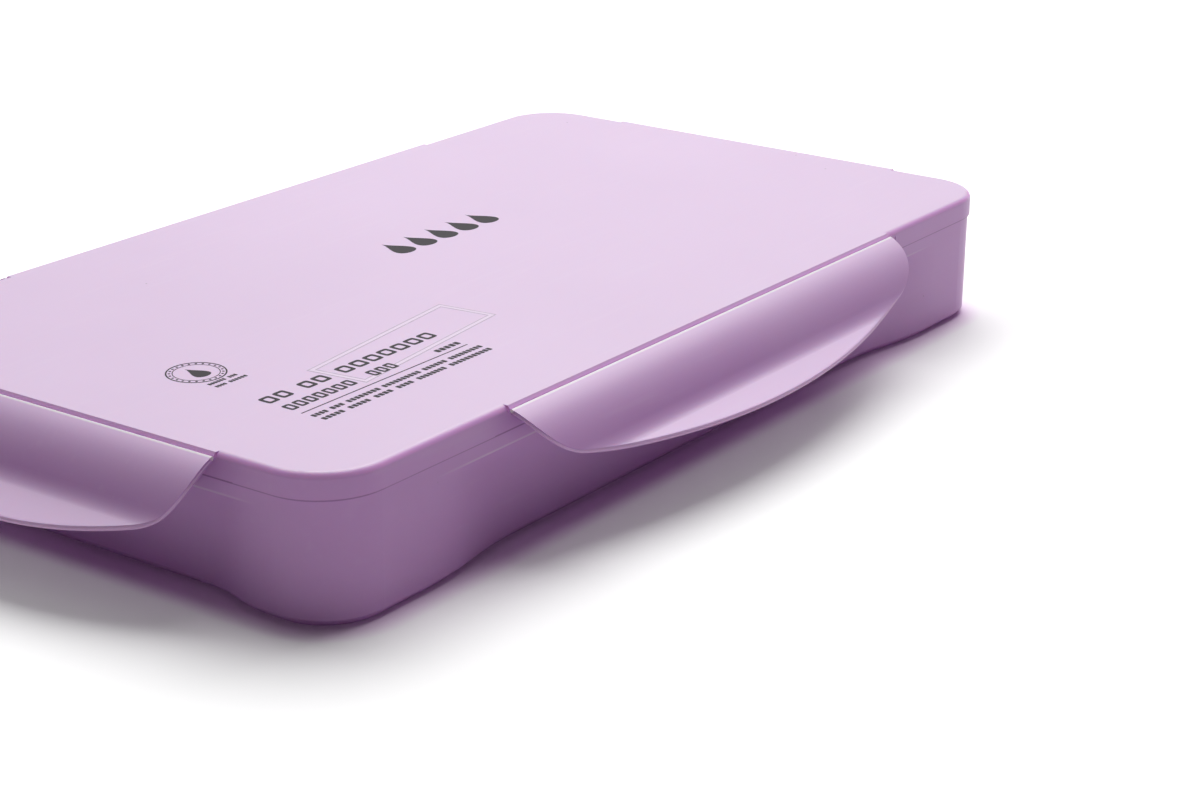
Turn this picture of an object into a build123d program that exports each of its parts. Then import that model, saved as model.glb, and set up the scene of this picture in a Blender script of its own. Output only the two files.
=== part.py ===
"""Gouache paint set box: a flat moulded case with a lift-off lid that four S-curved latch flaps
hold down, and inside it thirty-six sealed paint cups, a mixing palette and three brushes.

Millimetres, +Z up. The origin is the middle of the case on the plane it stands on, +X runs along
the long side and the front is -Y. The tray's plan outline is the reference: insets are measured
inward from it, and each latch's profile outward from it and down from the top of the lid.
"""

import os
from math import cos, radians, sin, tan

from build123d import *

os.makedirs("parts", exist_ok=True)

# Case
TRAY_LENGTH = 266.0
TRAY_WIDTH = 151.0
CORNER_RADIUS = 15.0
CASE_HEIGHT = 33.5
WALL = 2.0
FLOOR = 2.0
TRAY_DRAFT = 0.6
TRAY_CHAMFER = 1.8

# Tray rim, and the finger bay under it in the middle of each side: half lengths of the flat
# bottom of the bay and of its mouth
RIM_BAND = 3.3
RIM_INSET = 2.8
TONGUE_INSET = 1.8
TONGUE_HEIGHT = 2.4
BAY_DEPTH = 3.6
LONG_BAY = (68.0, 104.0)
SHORT_BAY = (36.0, 56.0)

# Lid
LID_OVERHANG = 0.5
LID_SKIRT = 5.9
LID_PLATE = 1.8
LID_EDGE_RADIUS = 1.5
SEAM_GAP = 0.2
SKIRT_INSET = 1.6
LATCH_SETBACK = 0.2
SEAL_RING_INSET = 3.0
SEAL_RING_WIDTH = 1.0
SEAL_RING_DROP = 2.1

# Hinge land: the sharp bevelled edge of the lid that each latch's hinge runs along
LAND_OUT = 1.05
LAND_BEVEL = 0.65
LAND_DEPTH = 1.2
LAND_OVERLAP = 1.0

# Latch flap profile: a dome that steepens away from the hinge, a bend, and a flared finger lip
HINGE_OUT = 1.5
HINGE_DOWN = 1.05
BEAD_RADIUS = 0.4
FLAP_THICKNESS = 1.3
ROOT_SLOPE = 20.0
DOME_RADIUS = 16.0
DOME_TURN = 50.0
BEND_RADIUS = 5.1
BEND_TURN = 50.0
FLARE_LENGTH = 14.0
OUTLINE_SLOPE = 57.0
OUTLINE_CORNER = 16.0

# Latch catch: a leg inside the flap whose toe grips under the tray's rim band
LEG_OUT = 1.6
LEG_THICKNESS = 1.4
TOE_REACH = 1.1
TOE_GAP = 0.3
TOE_THICKNESS = 0.4
TOE_HEEL = 1.7

# Each size of latch: half length at the hinge, reach and radius of the D-shaped outline, how much
# its ends lean in, half length of its seat in the lid's skirt, and half length of the catch
LONG_LATCH = {"half": 78.1, "reach": 22.3, "radius": 265.0, "lean": 12.0, "seat": 82.5, "catch": 55.0}
SHORT_LATCH = {"half": 45.7, "reach": 24.2, "radius": 97.0, "lean": 1.0, "seat": 50.0, "catch": 30.0}

# Paint cups
CUP_COLUMNS = 9
CUP_ROWS = 4
CUP_PITCH = 28.0
CUPS_CLEARANCE = 0.8
CUP_RIM = 27.4
CUP_RIM_THICKNESS = 1.2
CUP_BODY = 25.0
CUP_HEIGHT = 21.0
CUP_TAPER = 3.0
CUP_CORNER = 4.0
CUP_WALL = 0.9
PAINT_HEADROOM = 2.4
FILM_THICKNESS = 0.2
FILM_TAB = 5.0
RIB_THICKNESS = 1.2
RIB_HEIGHT = 3.0
PAINT_FAMILIES = "whites yellows oranges reds violets blues greens browns greys".split()

# Mixing palette
PALETTE_CLEARANCE = 0.4
PALETTE_FLANGE = 1.4
PALETTE_TOP = 31.0
PALETTE_BOTTOM = 24.3
PALETTE_FLOOR = 1.2
WELL_WALL = 3.0
WELL_CORNER = 5.0
WELL_TAPER = 10.0
SMALL_WELLS = 6
SMALL_WELL_WIDTH = 34.0

# Brushes: ferrule and handle diameters, length of hair shown, and length of handle
BRUSHES = {
    "large": {"ferrule": 7.0, "belly": 8.0, "hair": 22.0, "handle": 156.0},
    "medium": {"ferrule": 6.0, "belly": 7.2, "hair": 18.0, "handle": 152.0},
    "small": {"ferrule": 4.6, "belly": 6.4, "hair": 16.0, "handle": 148.0},
}
FERRULE_LENGTH = 26.0
FERRULE_WALL = 0.4
CRIMP_DEPTH = 0.2
CRIMP_PITCH = 2.4
CRIMP_INSET = 4.0
HAIR_GRIP = 8.0
HANDLE_GRIP = 10.0
HANDLE_BELLY = 0.18
BELLY_RISE = 0.1
HANDLE_TIP = 1.4
BRUSH_END = 101.0
TROUGH_WALL = 14.0

# Levels and places worked out from the dimensions above
TRAY_HEIGHT = CASE_HEIGHT - LID_SKIRT
BAND_UNDERSIDE = TRAY_HEIGHT - RIM_BAND
LEDGE = BAND_UNDERSIDE + WALL
LID_UNDERSIDE = CASE_HEIGHT - LID_PLATE
CUPS_LENGTH = CUP_COLUMNS * CUP_PITCH
CUPS_DEPTH = CUP_ROWS * CUP_PITCH
CUPS_FRONT = -TRAY_WIDTH / 2 + BAY_DEPTH + WALL + CUPS_CLEARANCE
CUPS_MIDDLE = CUPS_FRONT + CUPS_DEPTH / 2
CUPS_BACK = CUPS_FRONT + CUPS_DEPTH
TROUGH_FRONT = CUPS_BACK + CUPS_CLEARANCE + RIB_THICKNESS
TROUGH_BACK = TRAY_WIDTH / 2 - BAY_DEPTH - WALL


def inset_outline(inset, mode=Mode.ADD):
    """The tray's rounded plan outline, drawn the given distance inside its edge."""
    length = TRAY_LENGTH - 2 * inset
    width = TRAY_WIDTH - 2 * inset
    return RectangleRounded(length, width, CORNER_RADIUS - inset, mode=mode)


def side_bay(edge, flat_half, mouth_half, angle):
    """Cut a shallow bay out of one side of the sketch, with an S of two equal arcs at each end."""
    with BuildSketch(mode=Mode.PRIVATE) as bay:
        with BuildLine():
            outside = -edge - BAY_DEPTH
            bottom = -edge + BAY_DEPTH
            Line((-mouth_half, -edge), (-mouth_half, outside))
            Line((-mouth_half, outside), (mouth_half, outside))
            Line((mouth_half, outside), (mouth_half, -edge))
            for side in (-1, 1):
                middle = (side * (flat_half + mouth_half) / 2, (-edge + bottom) / 2)
                first = TangentArc((side * mouth_half, -edge), middle, tangent=(-side, 0))
                TangentArc(middle, (side * flat_half, bottom), tangent=first % 1)
            Line((-flat_half, bottom), (flat_half, bottom))
        make_face()
    add(bay.sketch.rotate(Axis.Z, angle), mode=Mode.SUBTRACT)


def recessed_outline(inset):
    """The outline under the rim band: the tray's own with a bay in the middle of each side."""
    inset_outline(inset)
    for angle in (0, 180):
        side_bay(TRAY_WIDTH / 2 - inset, *LONG_BAY, angle)
    for angle in (90, 270):
        side_bay(TRAY_LENGTH / 2 - inset, *SHORT_BAY, angle)


def hinge_land(edge, half, angle):
    """Add the bevelled land for one latch to the lid, its top level with the top of the plate."""
    land_foot = CASE_HEIGHT - LAND_DEPTH
    with BuildPart(mode=Mode.PRIVATE) as land:
        with BuildSketch(Plane.YZ):
            with BuildLine():
                Polyline(
                    (-edge + LAND_OVERLAP, CASE_HEIGHT),
                    (-edge - LAND_OUT + LAND_BEVEL, CASE_HEIGHT),
                    (-edge - LAND_OUT, CASE_HEIGHT - LAND_BEVEL),
                    (-edge - LAND_OUT, land_foot),
                    (-edge - LAND_OUT + LID_PLATE - LAND_DEPTH, LID_UNDERSIDE),
                    (-edge + LAND_OVERLAP, LID_UNDERSIDE),
                    close=True,
                )
            make_face()
        extrude(amount=half, both=True)
    add(land.part.rotate(Axis.Z, angle))


def save(piece, name):
    """Label a finished piece and write it as its own STEP file."""
    piece.label = name
    export_step(piece, f"parts/{name}.step")


# Tray: drafted walls with finger bays, a plain rim band, a sealing tongue and low ribs for the cups
with BuildPart() as base_tray:
    with BuildSketch(Plane.XY.offset(BAND_UNDERSIDE)):
        recessed_outline(0)
    extrude(amount=-BAND_UNDERSIDE, taper=TRAY_DRAFT)
    chamfer(base_tray.edges().group_by(Axis.Z)[0], length=TRAY_CHAMFER)
    with BuildSketch(Plane.XY.offset(BAND_UNDERSIDE)):
        inset_outline(0)
    extrude(amount=RIM_BAND)
    with BuildSketch(Plane.XY.offset(TRAY_HEIGHT)):
        inset_outline(TONGUE_INSET)
    extrude(amount=TONGUE_HEIGHT)
    with BuildSketch(Plane.XY.offset(LEDGE)):
        inset_outline(RIM_INSET)
    extrude(amount=CASE_HEIGHT, mode=Mode.SUBTRACT)
    with BuildSketch(Plane.XY.offset(FLOOR)):
        recessed_outline(WALL)
        inset_outline(RIM_INSET, mode=Mode.INTERSECT)
    extrude(amount=CASE_HEIGHT, mode=Mode.SUBTRACT)
    with BuildSketch(Plane.XY.offset(FLOOR)):
        with Locations((0, CUPS_MIDDLE)):
            with GridLocations(CUP_PITCH, 0, CUP_COLUMNS - 1, 1):
                Rectangle(RIB_THICKNESS, CUPS_DEPTH)
            with GridLocations(0, CUP_PITCH, 1, CUP_ROWS - 1):
                Rectangle(CUPS_LENGTH, RIB_THICKNESS)
    extrude(amount=RIB_HEIGHT)
    with BuildSketch(Plane.XY.offset(FLOOR)):
        with Locations((0, TROUGH_FRONT - RIB_THICKNESS / 2)):
            Rectangle(CUPS_LENGTH, RIB_THICKNESS)
    extrude(amount=TROUGH_WALL)
save(base_tray.part, "base_tray")

# Lid: a flat plate with a rolled edge, a bevelled land for each latch's hinge with the skirt set
# back under it, and a ring that closes inside the tray's tongue
with BuildPart() as lid:
    with BuildSketch(Plane.XY.offset(TRAY_HEIGHT + SEAM_GAP)):
        inset_outline(-LID_OVERHANG)
    extrude(amount=LID_SKIRT - SEAM_GAP)
    fillet(lid.faces().sort_by(Axis.Z)[-1].edges(), radius=LID_EDGE_RADIUS)
    with BuildSketch(Plane.XY.offset(TRAY_HEIGHT)):
        inset_outline(SKIRT_INSET)
        with GridLocations(0, TRAY_WIDTH + 2 * LID_OVERHANG, 1, 2):
            Rectangle(2 * LONG_LATCH["seat"], 2 * LATCH_SETBACK)
        with GridLocations(TRAY_LENGTH + 2 * LID_OVERHANG, 0, 2, 1):
            Rectangle(2 * LATCH_SETBACK, 2 * SHORT_LATCH["seat"])
    extrude(amount=LID_SKIRT - LID_PLATE, mode=Mode.SUBTRACT)
    for angle in (0, 180):
        hinge_land(TRAY_WIDTH / 2, LONG_LATCH["half"], angle)
    for angle in (90, 270):
        hinge_land(TRAY_LENGTH / 2, SHORT_LATCH["half"], angle)
    with BuildSketch(Plane.XY.offset(LID_UNDERSIDE - SEAL_RING_DROP)):
        inset_outline(SEAL_RING_INSET)
        inset_outline(SEAL_RING_INSET + SEAL_RING_WIDTH, mode=Mode.SUBTRACT)
    extrude(amount=SEAL_RING_DROP)
save(lid.part, "lid")


def latch_flap(edge, size):
    """One latch on the side that faces -Y, where the tray's outline lies `edge` from the origin."""
    hinge = Vector(-edge - HINGE_OUT, CASE_HEIGHT - HINGE_DOWN)
    slope = radians(ROOT_SLOPE)
    root = hinge + Vector(-sin(slope), cos(slope)) * BEAD_RADIUS
    lean = size["reach"] * tan(radians(size["lean"]))
    tilt = radians(OUTLINE_SLOPE)
    outline_plane = Plane((0, hinge.X, hinge.Y), x_dir=(1, 0, 0), z_dir=(0, -sin(tilt), cos(tilt)))
    leg_inner = -edge - LEG_OUT
    leg_outer = leg_inner - LEG_THICKNESS
    toe_top = BAND_UNDERSIDE - TOE_GAP
    with BuildPart() as flap:
        with BuildSketch(Plane.YZ):
            with BuildLine():
                dome = JernArc(root, (-cos(slope), -sin(slope)), DOME_RADIUS, DOME_TURN)
                bend = JernArc(dome @ 1, dome % 1, BEND_RADIUS, -BEND_TURN)
                Line(bend @ 1, bend @ 1 + FLARE_LENGTH * (bend % 1))
                offset(amount=FLAP_THICKNESS, side=Side.LEFT)
            make_face()
        extrude(amount=size["half"], both=True)
        with BuildSketch(outline_plane) as outline:
            with Locations((0, size["radius"] - size["reach"])):
                Circle(size["radius"])
            with BuildLine():
                Polyline(
                    (-size["half"], size["reach"]),
                    (-size["half"], 0),
                    (-size["half"] + lean, -size["reach"] - FLAP_THICKNESS),
                    (size["half"] - lean, -size["reach"] - FLAP_THICKNESS),
                    (size["half"], 0),
                    (size["half"], size["reach"]),
                    close=True,
                )
            make_face(mode=Mode.INTERSECT)
            fillet(outline.vertices().group_by(Axis.Y)[0], radius=OUTLINE_CORNER)
        extrude(amount=size["reach"], both=True, mode=Mode.INTERSECT)
        with BuildSketch(Plane.YZ):
            with Locations(hinge):
                Circle(BEAD_RADIUS)
        extrude(amount=size["half"], both=True)
        with BuildSketch(Plane.YZ):
            with BuildLine():
                Polyline(
                    (leg_outer, hinge.Y - FLAP_THICKNESS),
                    (leg_inner, hinge.Y - FLAP_THICKNESS / 2),
                    (leg_inner, toe_top),
                    (leg_inner + LEG_OUT + TOE_REACH, toe_top),
                    (leg_inner + LEG_OUT + TOE_REACH, toe_top - TOE_THICKNESS),
                    (leg_inner, toe_top - TOE_HEEL),
                    (leg_outer, toe_top - TOE_HEEL),
                    close=True,
                )
            make_face()
        extrude(amount=size["catch"], both=True)
    return flap.part


# Latches: one in the middle of each side, the same pair of sizes front and back, left and right
long_latch = latch_flap(TRAY_WIDTH / 2, LONG_LATCH)
short_latch = latch_flap(TRAY_LENGTH / 2, SHORT_LATCH)
save(long_latch, "latch_front")
save(long_latch.rotate(Axis.Z, 180), "latch_back")
save(short_latch.rotate(Axis.Z, 90), "latch_right")
save(short_latch.rotate(Axis.Z, 270), "latch_left")

# Palette: a dish that hangs by its flange on the tray's ledge, with two mixing wells and a row of
# small ones along the back
with BuildPart() as mixing_palette:
    dish_inset = BAY_DEPTH + WALL + PALETTE_CLEARANCE
    wells_length = TRAY_LENGTH - 2 * (dish_inset + WELL_WALL)
    wells_width = TRAY_WIDTH - 2 * (dish_inset + WELL_WALL)
    large_width = wells_width - WELL_WALL - SMALL_WELL_WIDTH
    with BuildSketch(Plane.XY.offset(PALETTE_BOTTOM)):
        inset_outline(dish_inset)
    extrude(amount=PALETTE_TOP - PALETTE_BOTTOM)
    with BuildSketch(Plane.XY.offset(LEDGE)):
        inset_outline(RIM_INSET + PALETTE_CLEARANCE)
    extrude(amount=PALETTE_FLANGE)
    with BuildSketch(Plane.XY.offset(PALETTE_TOP)):
        with Locations((0, -wells_width / 2 + large_width / 2)):
            with GridLocations((wells_length + WELL_WALL) / 2, 0, 2, 1):
                RectangleRounded((wells_length - WELL_WALL) / 2, large_width, WELL_CORNER)
        with Locations((0, wells_width / 2 - SMALL_WELL_WIDTH / 2)):
            pitch = (wells_length + WELL_WALL) / SMALL_WELLS
            with GridLocations(pitch, 0, SMALL_WELLS, 1):
                RectangleRounded(pitch - WELL_WALL, SMALL_WELL_WIDTH, WELL_CORNER)
    depth = PALETTE_TOP - PALETTE_BOTTOM - PALETTE_FLOOR
    extrude(amount=-depth, taper=WELL_TAPER, mode=Mode.SUBTRACT)
save(mixing_palette.part, "mixing_palette")


def column_squares(column, width, corner):
    """The rounded squares of one column of cups, in the current sketch."""
    with Locations(((column - (CUP_COLUMNS - 1) / 2) * CUP_PITCH, CUPS_MIDDLE)):
        with GridLocations(0, CUP_PITCH, 1, CUP_ROWS):
            RectangleRounded(width, width, corner)


# Cups, paint and peel-off films: one column of four for each colour family, left to right
cup_top = FLOOR + CUP_HEIGHT
cavity_width = CUP_BODY - 2 * CUP_WALL
cavity_corner = CUP_CORNER - CUP_WALL
headroom_taper = PAINT_HEADROOM * tan(radians(CUP_TAPER))
for column, family in enumerate(PAINT_FAMILIES):
    with BuildPart() as cups:
        with BuildSketch(Plane.XY.offset(cup_top)):
            column_squares(column, CUP_BODY, CUP_CORNER)
        extrude(amount=-CUP_HEIGHT, taper=CUP_TAPER)
        with BuildSketch(Plane.XY.offset(cup_top - CUP_RIM_THICKNESS)):
            column_squares(column, CUP_RIM, CUP_CORNER + (CUP_RIM - CUP_BODY) / 2)
        extrude(amount=CUP_RIM_THICKNESS)
        with BuildSketch(Plane.XY.offset(cup_top)):
            column_squares(column, cavity_width, cavity_corner)
        extrude(amount=CUP_WALL - CUP_HEIGHT, taper=CUP_TAPER, mode=Mode.SUBTRACT)
    save(cups.part, f"cups_{family}")
    with BuildPart() as paint:
        with BuildSketch(Plane.XY.offset(cup_top - PAINT_HEADROOM)):
            column_squares(column, cavity_width - 2 * headroom_taper, cavity_corner - headroom_taper)
        extrude(amount=PAINT_HEADROOM + CUP_WALL - CUP_HEIGHT, taper=CUP_TAPER)
    save(paint.part, f"paint_{family}")
    with BuildPart() as films:
        with BuildSketch(Plane.XY.offset(cup_top)):
            column_squares(column, CUP_RIM, CUP_CORNER + (CUP_RIM - CUP_BODY) / 2)
            with Locations(((column - (CUP_COLUMNS - 1) / 2) * CUP_PITCH, CUPS_MIDDLE)):
                with GridLocations(0, CUP_PITCH, 1, CUP_ROWS):
                    with Locations(((CUP_RIM - FILM_TAB) / 2, (FILM_TAB - CUP_RIM) / 2)):
                        Rectangle(FILM_TAB, FILM_TAB)
        extrude(amount=FILM_THICKNESS)
    save(films.part, f"films_{family}")

# Brushes: each turned about its own axis, lying on the floor of the trough with its hair to -X
lane = (TROUGH_BACK - TROUGH_FRONT) / len(BRUSHES)
for number, (name, size) in enumerate(BRUSHES.items()):
    centre = (0, TROUGH_FRONT + (number + 0.5) * lane, FLOOR + size["belly"] / 2)
    axis = Axis(centre, (1, 0, 0))
    half_section = Plane(centre, x_dir=(1, 0, 0), z_dir=(0, -1, 0))
    outer = size["ferrule"] / 2
    bore = outer - FERRULE_WALL
    ferrule_end = -BRUSH_END + size["hair"]
    shoulder = ferrule_end + FERRULE_LENGTH
    with BuildPart() as hair:
        with BuildSketch(half_section):
            with BuildLine():
                tip = (-BRUSH_END, 0)
                Spline(tip, (ferrule_end - 0.45 * size["hair"], outer), (ferrule_end, bore))
                root = ferrule_end + HAIR_GRIP
                Polyline((ferrule_end, bore), (root, bore), (root, 0), tip)
            make_face()
        revolve(axis=axis)
    save(hair.part, f"brush_{name}_hair")
    with BuildPart() as ferrule:
        with BuildSketch(half_section):
            with Locations(((ferrule_end + shoulder) / 2, (outer + bore) / 2)):
                Rectangle(FERRULE_LENGTH, FERRULE_WALL)
            with Locations((shoulder - CRIMP_INSET, outer)):
                with GridLocations(CRIMP_PITCH, 0, 2, 1):
                    Circle(CRIMP_DEPTH, mode=Mode.SUBTRACT)
        revolve(axis=axis)
    save(ferrule.part, f"brush_{name}_ferrule")
    with BuildPart() as handle:
        with BuildSketch(half_section):
            with BuildLine():
                belly = (shoulder + HANDLE_BELLY * size["handle"], size["belly"] / 2)
                end = shoulder + size["handle"]
                Spline((shoulder, outer), belly, tangents=[(1, BELLY_RISE), (1, 0)])
                Spline(belly, (end, HANDLE_TIP), tangents=[(1, 0), (1, 0)])
                Polyline(
                    (end, HANDLE_TIP),
                    (end, 0),
                    (shoulder - HANDLE_GRIP, 0),
                    (shoulder - HANDLE_GRIP, bore),
                    (shoulder, bore),
                    (shoulder, outer),
                )
            make_face()
        revolve(axis=axis)
    save(handle.part, f"brush_{name}_handle")
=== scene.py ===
# %% [markdown]
# # A gouache paint set box
# The box is a flat lilac case of moulded polypropylene. Its lid lifts off, and four S-curved
# flaps, which bend on a thin web along the lid's edge, snap under the rim of the tray. The solid
# model already holds every moulded wall, so this lesson gives each piece its finish, and adds what
# is soft, printed or too fine for a solid: the roll along the flaps, the ink on the lid, the
# stirred paste in the cups and the hairs of the brushes. First the model is loaded, and its outer
# box is kept.

import bpy
import numpy as np
from mathutils import Matrix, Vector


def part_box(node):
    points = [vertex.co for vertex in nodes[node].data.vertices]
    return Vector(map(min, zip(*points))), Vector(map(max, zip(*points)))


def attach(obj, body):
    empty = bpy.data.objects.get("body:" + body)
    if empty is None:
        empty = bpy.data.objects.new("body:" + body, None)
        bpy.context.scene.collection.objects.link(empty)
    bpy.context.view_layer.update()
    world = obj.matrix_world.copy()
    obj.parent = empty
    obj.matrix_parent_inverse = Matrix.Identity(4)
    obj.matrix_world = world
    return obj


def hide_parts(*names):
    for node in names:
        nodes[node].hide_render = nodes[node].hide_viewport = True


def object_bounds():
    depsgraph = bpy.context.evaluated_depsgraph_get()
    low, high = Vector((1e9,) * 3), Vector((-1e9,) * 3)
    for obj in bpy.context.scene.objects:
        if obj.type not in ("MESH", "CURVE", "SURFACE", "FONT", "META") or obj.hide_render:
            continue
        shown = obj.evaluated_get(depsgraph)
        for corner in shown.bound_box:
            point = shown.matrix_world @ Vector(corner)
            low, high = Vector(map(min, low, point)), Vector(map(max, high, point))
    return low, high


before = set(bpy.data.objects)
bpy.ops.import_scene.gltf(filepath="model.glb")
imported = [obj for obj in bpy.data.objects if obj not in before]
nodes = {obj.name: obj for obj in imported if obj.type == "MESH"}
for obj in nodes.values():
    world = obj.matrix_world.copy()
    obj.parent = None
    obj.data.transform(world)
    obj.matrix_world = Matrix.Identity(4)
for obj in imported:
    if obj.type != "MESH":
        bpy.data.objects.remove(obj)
cad_box = [list(corner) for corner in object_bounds()]
MM = 0.001
print(len(nodes), "solids, outer box in mm:", np.round(np.array(cad_box) / MM, 1).tolist())

# %% [markdown]
# ## The camera
# The viewer stands off the front left corner and looks down on the lid at about twenty degrees,
# through a long lens that keeps the sides of the box nearly parallel. A camera could be aimed with
# a constraint, but writing its three axes out as a matrix keeps it exactly where it was measured:
# the first axis points right, the second up, and the third back towards the viewer.

# %% Camera
CAMERA_PLACE = (-0.48161, -0.39281, 0.22208)
CAMERA_YAW = np.radians(35.9954)
CAMERA_PITCH = np.radians(20.0741)
CAMERA_ROLL = np.radians(0.0757)
FOCAL_PIXELS = 2627.3
FRAME_WIDTH_PIXELS = 1200


def camera_axes(yaw, pitch, roll):
    """Right, up and back: yaw turns the view from +X towards +Y, pitch dips it, roll tips it."""
    ahead = np.array([np.cos(yaw) * np.cos(pitch), np.sin(yaw) * np.cos(pitch), -np.sin(pitch)])
    right = np.array([np.sin(yaw), -np.cos(yaw), 0])
    up = np.cross(right, ahead)
    return (
        np.cos(roll) * right + np.sin(roll) * up,
        np.cos(roll) * up - np.sin(roll) * right,
        -ahead,
    )


camera_data = bpy.data.cameras.new("camera")
camera_data.sensor_width = 36
camera_data.lens = FOCAL_PIXELS * camera_data.sensor_width / FRAME_WIDTH_PIXELS
camera_data.clip_start = 0.01
camera = bpy.data.objects.new("camera", camera_data)
place = np.eye(4)
place[:3, :3] = np.column_stack(camera_axes(CAMERA_YAW, CAMERA_PITCH, CAMERA_ROLL))
place[:3, 3] = CAMERA_PLACE
camera.matrix_world = Matrix(place.tolist())
bpy.context.scene.collection.objects.link(camera)
bpy.context.scene.camera = camera
bpy.context.scene.view_settings.view_transform = "Standard"
print("lens", round(camera_data.lens, 2), "mm, camera at", CAMERA_PLACE)

# %% [markdown]
# ## Helpers for materials
# Every finish here is a tree of shader nodes. Three small helpers keep the cells short. The first
# adds a node and wires its inputs, the second starts a material whose constants sit on the shader's
# own sockets, and the third starts a node group, for an effect that several finishes share.


# %% Node helpers
def add_node(tree, kind, inputs=None, **settings):
    """One shader node. settings are its properties; inputs are values, or sockets to wire from."""
    node = tree.nodes.new("ShaderNode" + kind)
    for name, value in settings.items():
        setattr(node, name, value)
    for name, value in (inputs or {}).items():
        if isinstance(value, bpy.types.NodeSocket):
            tree.links.new(value, node.inputs[name])
        else:
            node.inputs[name].default_value = value
    return node


def math(tree, operation, *values, clamp=False):
    """The result socket of one Math node."""
    inputs = dict(enumerate(values))
    return add_node(tree, "Math", inputs, operation=operation, use_clamp=clamp).outputs[0]


def noise(tree, vector, scale, detail, distortion=0.0):
    """The grey value of a Noise Texture, from 0 to 1."""
    inputs = {"Vector": vector, "Scale": scale, "Detail": detail, "Distortion": distortion}
    return add_node(tree, "TexNoise", inputs).outputs["Fac"]


def mix_colour(tree, factor, first, second):
    """The result socket of a colour mix."""
    node = add_node(tree, "Mix", data_type="RGBA")
    for name, value in (("Factor_Float", factor), ("A_Color", first), ("B_Color", second)):
        socket = next(s for s in node.inputs if s.identifier == name)
        if isinstance(value, bpy.types.NodeSocket):
            tree.links.new(value, socket)
        else:
            socket.default_value = value
    return next(s for s in node.outputs if s.identifier == "Result_Color")


def new_material(name, **constants):
    """A material with a Principled shader, and those constants on the shader's own sockets."""
    made = bpy.data.materials.new(name)
    made.use_nodes = True
    shader = made.node_tree.nodes["Principled BSDF"]
    for socket, value in constants.items():
        shader.inputs[socket.replace("_", " ")].default_value = value
    return made, made.node_tree, shader


def new_group(name, inputs, outputs):
    """A node group with named sockets: its tree, what comes in, and what goes out."""
    tree = bpy.data.node_groups.new(name, "ShaderNodeTree")
    for socket, (kind, default) in inputs.items():
        made = tree.interface.new_socket(socket, in_out="INPUT", socket_type="NodeSocket" + kind)
        made.default_value = default
    for socket, kind in outputs.items():
        tree.interface.new_socket(socket, in_out="OUTPUT", socket_type="NodeSocket" + kind)
    entry, leave = tree.nodes.new("NodeGroupInput"), tree.nodes.new("NodeGroupOutput")
    return tree, entry.outputs, leave.inputs


def place_group(tree, group, inputs=None):
    """The outputs of a node group placed in a tree."""
    node = tree.nodes.new("ShaderNodeGroup")
    node.node_tree = group
    for name, value in (inputs or {}).items():
        if isinstance(value, bpy.types.NodeSocket):
            tree.links.new(value, node.inputs[name])
        else:
            node.inputs[name].default_value = value
    return node.outputs


def object_coordinates(tree):
    """The piece's own coordinates, in metres."""
    return add_node(tree, "TexCoord").outputs["Object"]


def rgb(red, green, blue):
    """A linear colour from its screen values, 0 to 255, with the sRGB curve undone."""
    screen = np.array([red, green, blue]) / 255
    linear = np.where(screen <= 0.04045, screen / 12.92, ((screen + 0.055) / 1.055) ** 2.4)
    return (*linear.tolist(), 1.0)


def wire_skin(tree, group, shader):
    """Wire a group's colour, roughness and normal to the shader."""
    for name in ("Colour", "Roughness", "Normal"):
        tree.links.new(group[name], shader.inputs["Base Color" if name == "Colour" else name])


def finish_nodes(names, material):
    """Give solids of the model a material in place of the plain one they came with."""
    for name in names:
        nodes[name].data.materials.clear()
        nodes[name].data.materials.append(material)


print("a mid lilac on the screen is", np.round(rgb(190, 150, 205), 3).tolist(), "as light")

# %% [markdown]
# ## The skin of moulded plastic
# Injection-moulded polypropylene is never one flat colour. The melt cools at different speeds and
# leaves broad pale clouds, dust sits on it as tiny specks, and handling leaves hairline scuffs. All
# the lilac mouldings and the white palette share these, so they are one node group with an amount
# for each. The patterns read the piece's own coordinates in metres, so they have a true scale and
# travel with a flap as it opens.

# %% Moulded skin group
CLOUD_SCALE = 16.0
SPECK_SCALE = 130.0
SPECK_RADIUS = 0.035
SPECK_SHARE = 0.86
SCUFF_STRETCH = (26.0, 520.0, 400.0)
SCUFF_TURN = np.radians(3)
SCUFF_START, SCUFF_GAIN = 0.58, 6.0
SPECK_GREY = rgb(120, 100, 120)
GRAIN_SCALE = 1500.0

moulded_skin, given, result = new_group(
    "moulded skin",
    {
        "Vector": ("Vector", (0, 0, 0)),
        "Colour": ("Color", (0.8, 0.8, 0.8, 1)),
        "Cloud Colour": ("Color", (1, 1, 1, 1)),
        "Clouds": ("Float", 0.1),
        "Specks": ("Float", 0.3),
        "Scuffs": ("Float", 0.1),
        "Roughness": ("Float", 0.35),
    },
    {"Colour": "Color", "Roughness": "Float", "Normal": "Vector"},
)
tree = moulded_skin
clouds = noise(tree, given["Vector"], CLOUD_SCALE, 4.0)
cloud_mask = math(tree, "MULTIPLY", clouds, given["Clouds"], clamp=True)
clouded = mix_colour(tree, cloud_mask, given["Colour"], given["Cloud Colour"])

cells = add_node(
    tree, "TexVoronoi", {"Vector": given["Vector"], "Scale": SPECK_SCALE}, feature="F1"
)
chosen = add_node(tree, "SeparateColor", {"Color": cells.outputs["Color"]}).outputs
close = math(tree, "LESS_THAN", cells.outputs["Distance"], SPECK_RADIUS)
speck = math(tree, "MULTIPLY", close, math(tree, "GREATER_THAN", chosen[0], SPECK_SHARE))
speck_mask = math(tree, "MULTIPLY", speck, given["Specks"])
specked = mix_colour(tree, speck_mask, clouded, SPECK_GREY)

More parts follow.
